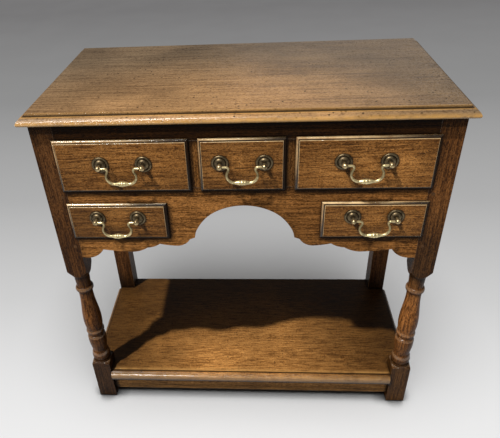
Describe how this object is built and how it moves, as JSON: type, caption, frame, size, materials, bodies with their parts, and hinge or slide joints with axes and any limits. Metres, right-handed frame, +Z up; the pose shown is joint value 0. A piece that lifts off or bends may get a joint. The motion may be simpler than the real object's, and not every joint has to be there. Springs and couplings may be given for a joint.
{
  "type": "lowboy",
  "caption": "Oak lowboy: small side table with drawers on brass bail handles, an arched and scrolled apron, turned front legs and a potboard shelf near the floor.",
  "frame": {"origin": "on the floor under the middle of the overall box", "axes": "+Z up, the drawers open towards -Y, +X to the right as seen from the front"},
  "size_m": [0.767, 0.4012, 0.76],
  "materials": {
    "oak_top": "aged wax over mid-brown oak, worn paler along the moulded edge",
    "oak_legs": "dark waxed oak",
    "oak_frame": "dark waxed oak",
    "oak_panel": "dark waxed oak",
    "oak_potboard": "waxed golden-brown oak",
    "oak_inner": "plain planed oak",
    "oak_pegs": "dark end grain",
    "oak_drawer_front": "waxed honey-brown oak with dark wax in the moulding",
    "drawer_lining": "plain planed oak, pale",
    "brass_aged": "dark aged brass",
    "brass_bail": "worn bright brass"
  },
  "bodies": {
    "carcase": {"top_board": "oak_top", "front_leg_left": "oak_legs", "front_leg_right": "oak_legs", "rear_leg_left": "oak_legs", "rear_leg_right": "oak_legs", "top_rail": "oak_frame", "muntin_left": "oak_frame", "muntin_right": "oak_frame", "apron": "oak_frame", "front_stretcher": "oak_frame", "rear_stretcher": "oak_frame", "side_stretcher_left": "oak_frame", "side_stretcher_right": "oak_frame", "side_panel_left": "oak_panel", "side_panel_right": "oak_panel", "back_panel": "oak_panel", "potboard": "oak_potboard", "upper_runners": "oak_inner", "lower_runners": "oak_inner", "drawer_guides": "oak_inner", "kickers": "oak_inner", "lower_partition_left": "oak_inner", "lower_partition_right": "oak_inner", "drawer_stops": "oak_inner", "joint_pegs": "oak_pegs"},
    "upper_left_drawer": {"upper_left_drawer_front": "oak_drawer_front", "upper_left_drawer_left_side": "drawer_lining", "upper_left_drawer_right_side": "drawer_lining", "upper_left_drawer_back": "drawer_lining", "upper_left_drawer_bottom": "drawer_lining", "upper_left_drawer_handle_mounts": "brass_aged"},
    "upper_left_bail": {"upper_left_drawer_bail": "brass_bail"},
    "upper_center_drawer": {"upper_center_drawer_front": "oak_drawer_front", "upper_center_drawer_left_side": "drawer_lining", "upper_center_drawer_right_side": "drawer_lining", "upper_center_drawer_back": "drawer_lining", "upper_center_drawer_bottom": "drawer_lining", "upper_center_drawer_handle_mounts": "brass_aged"},
    "upper_center_bail": {"upper_center_drawer_bail": "brass_bail"},
    "upper_right_drawer": {"upper_right_drawer_front": "oak_drawer_front", "upper_right_drawer_left_side": "drawer_lining", "upper_right_drawer_right_side": "drawer_lining", "upper_right_drawer_back": "drawer_lining", "upper_right_drawer_bottom": "drawer_lining", "upper_right_drawer_handle_mounts": "brass_aged"},
    "upper_right_bail": {"upper_right_drawer_bail": "brass_bail"},
    "lower_left_drawer": {"lower_left_drawer_front": "oak_drawer_front", "lower_left_drawer_left_side": "drawer_lining", "lower_left_drawer_right_side": "drawer_lining", "lower_left_drawer_back": "drawer_lining", "lower_left_drawer_bottom": "drawer_lining", "lower_left_drawer_handle_mounts": "brass_aged"},
    "lower_left_bail": {"lower_left_drawer_bail": "brass_bail"},
    "lower_right_drawer": {"lower_right_drawer_front": "oak_drawer_front", "lower_right_drawer_left_side": "drawer_lining", "lower_right_drawer_right_side": "drawer_lining", "lower_right_drawer_back": "drawer_lining", "lower_right_drawer_bottom": "drawer_lining", "lower_right_drawer_handle_mounts": "brass_aged"},
    "lower_right_bail": {"lower_right_drawer_bail": "brass_bail"}
  },
  "joints": [
    {"name": "upper_left_drawer_slide", "type": "slide", "parent": "carcase", "child": "upper_left_drawer", "axis": [0, -1, 0], "range_m": [0, 0.24]},
    {"name": "upper_left_bail_swing", "type": "hinge", "parent": "upper_left_drawer", "child": "upper_left_bail", "pos_m": [-0.214, -0.1954, 0.662], "axis": [-1, 0, 0], "range_deg": [-20, 200]},
    {"name": "upper_center_drawer_slide", "type": "slide", "parent": "carcase", "child": "upper_center_drawer", "axis": [0, -1, 0], "range_m": [0, 0.24]},
    {"name": "upper_center_bail_swing", "type": "hinge", "parent": "upper_center_drawer", "child": "upper_center_bail", "pos_m": [0, -0.1954, 0.662], "axis": [-1, 0, 0], "range_deg": [-20, 200]},
    {"name": "upper_right_drawer_slide", "type": "slide", "parent": "carcase", "child": "upper_right_drawer", "axis": [0, -1, 0], "range_m": [0, 0.24]},
    {"name": "upper_right_bail_swing", "type": "hinge", "parent": "upper_right_drawer", "child": "upper_right_bail", "pos_m": [0.214, -0.1954, 0.662], "axis": [-1, 0, 0], "range_deg": [-20, 200]},
    {"name": "lower_left_drawer_slide", "type": "slide", "parent": "carcase", "child": "lower_left_drawer", "axis": [0, -1, 0], "range_m": [0, 0.24]},
    {"name": "lower_left_bail_swing", "type": "hinge", "parent": "lower_left_drawer", "child": "lower_left_bail", "pos_m": [-0.2395, -0.1954, 0.5465], "axis": [-1, 0, 0], "range_deg": [-20, 200]},
    {"name": "lower_right_drawer_slide", "type": "slide", "parent": "carcase", "child": "lower_right_drawer", "axis": [0, -1, 0], "range_m": [0, 0.24]},
    {"name": "lower_right_bail_swing", "type": "hinge", "parent": "lower_right_drawer", "child": "lower_right_bail", "pos_m": [0.2395, -0.1954, 0.5465], "axis": [-1, 0, 0], "range_deg": [-20, 200]}
  ]
}
